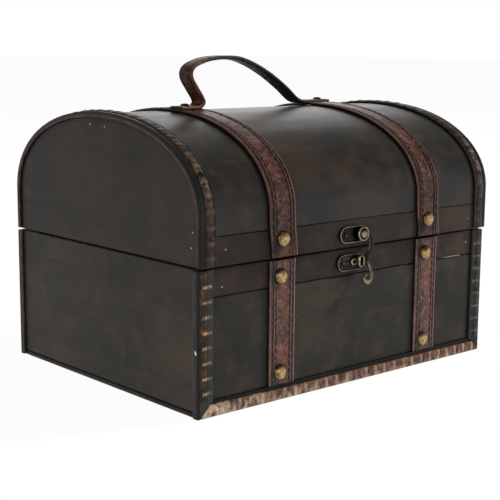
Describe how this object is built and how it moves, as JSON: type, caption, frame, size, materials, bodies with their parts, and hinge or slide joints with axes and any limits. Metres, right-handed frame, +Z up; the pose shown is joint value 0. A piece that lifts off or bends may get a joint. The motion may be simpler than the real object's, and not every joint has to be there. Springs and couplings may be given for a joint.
{
  "type": "domed wooden storage chest",
  "caption": "Small domed wooden storage chest with a hinged arched lid, leather straps and edge trim, dome nails, a swing-hook latch and a leather carrying handle.",
  "frame": {"origin": "centre of the chest's overall box, on the surface that it stands on", "axes": "+X along the chest to the right as seen from the front, +Y from the latch side to the hinge side, +Z up"},
  "size_m": [0.25, 0.2072, 0.202],
  "materials": {
    "stained_wood": "dark charcoal-brown stain under a thin satin varnish",
    "strap_leather": "dark reddish-brown leather with stitched edges",
    "trim_leather": "tan embossed leather strip, rubbed pale on its ridges",
    "nail_brass": "aged brass",
    "latch_bronze": "antiqued, dark in its recesses and rubbed bright on its edges",
    "hinge_brass": "antiqued"
  },
  "bodies": {
    "base": {"base_floor": "stained_wood", "base_left_end": "stained_wood", "base_right_end": "stained_wood", "base_front_panel": "stained_wood", "base_front_rail": "stained_wood", "base_back_panel": "stained_wood", "base_back_rail": "stained_wood", "base_left_corner_trim": "trim_leather", "base_right_corner_trim": "trim_leather", "base_bottom_trim": "trim_leather", "base_left_strap_front": "strap_leather", "base_right_strap_front": "strap_leather", "base_left_strap_back": "strap_leather", "base_right_strap_back": "strap_leather", "base_left_front_upper_nail": "nail_brass", "base_left_front_lower_nail": "nail_brass", "base_left_back_upper_nail": "nail_brass", "base_left_back_lower_nail": "nail_brass", "base_right_front_upper_nail": "nail_brass", "base_right_front_lower_nail": "nail_brass", "base_right_back_upper_nail": "nail_brass", "base_right_back_lower_nail": "nail_brass", "latch_lower_plate": "latch_bronze", "latch_lower_pin": "latch_bronze", "catch_knob": "latch_bronze", "left_hinge_base_leaf": "hinge_brass", "left_hinge_pin": "hinge_brass", "left_hinge_base_screw_1": "hinge_brass", "left_hinge_base_screw_2": "hinge_brass", "right_hinge_base_leaf": "hinge_brass", "right_hinge_pin": "hinge_brass", "right_hinge_base_screw_1": "hinge_brass", "right_hinge_base_screw_2": "hinge_brass"},
    "lid": {"lid_left_end": "stained_wood", "lid_right_end": "stained_wood", "lid_front_rail": "stained_wood", "lid_back_rail": "stained_wood", "lid_skin": "stained_wood", "lid_left_trim": "trim_leather", "lid_right_trim": "trim_leather", "lid_left_strap": "strap_leather", "lid_right_strap": "strap_leather", "carry_handle": "strap_leather", "lid_left_front_nail": "nail_brass", "lid_left_back_nail": "nail_brass", "lid_right_front_nail": "nail_brass", "lid_right_back_nail": "nail_brass", "handle_left_nail": "nail_brass", "handle_right_nail": "nail_brass", "latch_upper_plate": "latch_bronze", "latch_upper_pin": "latch_bronze", "latch_pivot_rivet": "latch_bronze", "left_hinge_lid_leaf": "hinge_brass", "left_hinge_lid_screw_1": "hinge_brass", "left_hinge_lid_screw_2": "hinge_brass", "right_hinge_lid_leaf": "hinge_brass", "right_hinge_lid_screw_1": "hinge_brass", "right_hinge_lid_screw_2": "hinge_brass"},
    "hook": {"latch_hook": "latch_bronze"}
  },
  "joints": [
    {"name": "lid_hinge", "type": "hinge", "parent": "base", "child": "lid", "pos_m": [0, 0.10088, 0.0864], "axis": [-1, 0, 0], "range_deg": [0, 100]},
    {"name": "latch_swing", "type": "hinge", "parent": "lid", "child": "hook", "pos_m": [0.002, -0.09803, 0.0949], "axis": [0, -1, 0], "range_deg": [0, 150]}
  ]
}
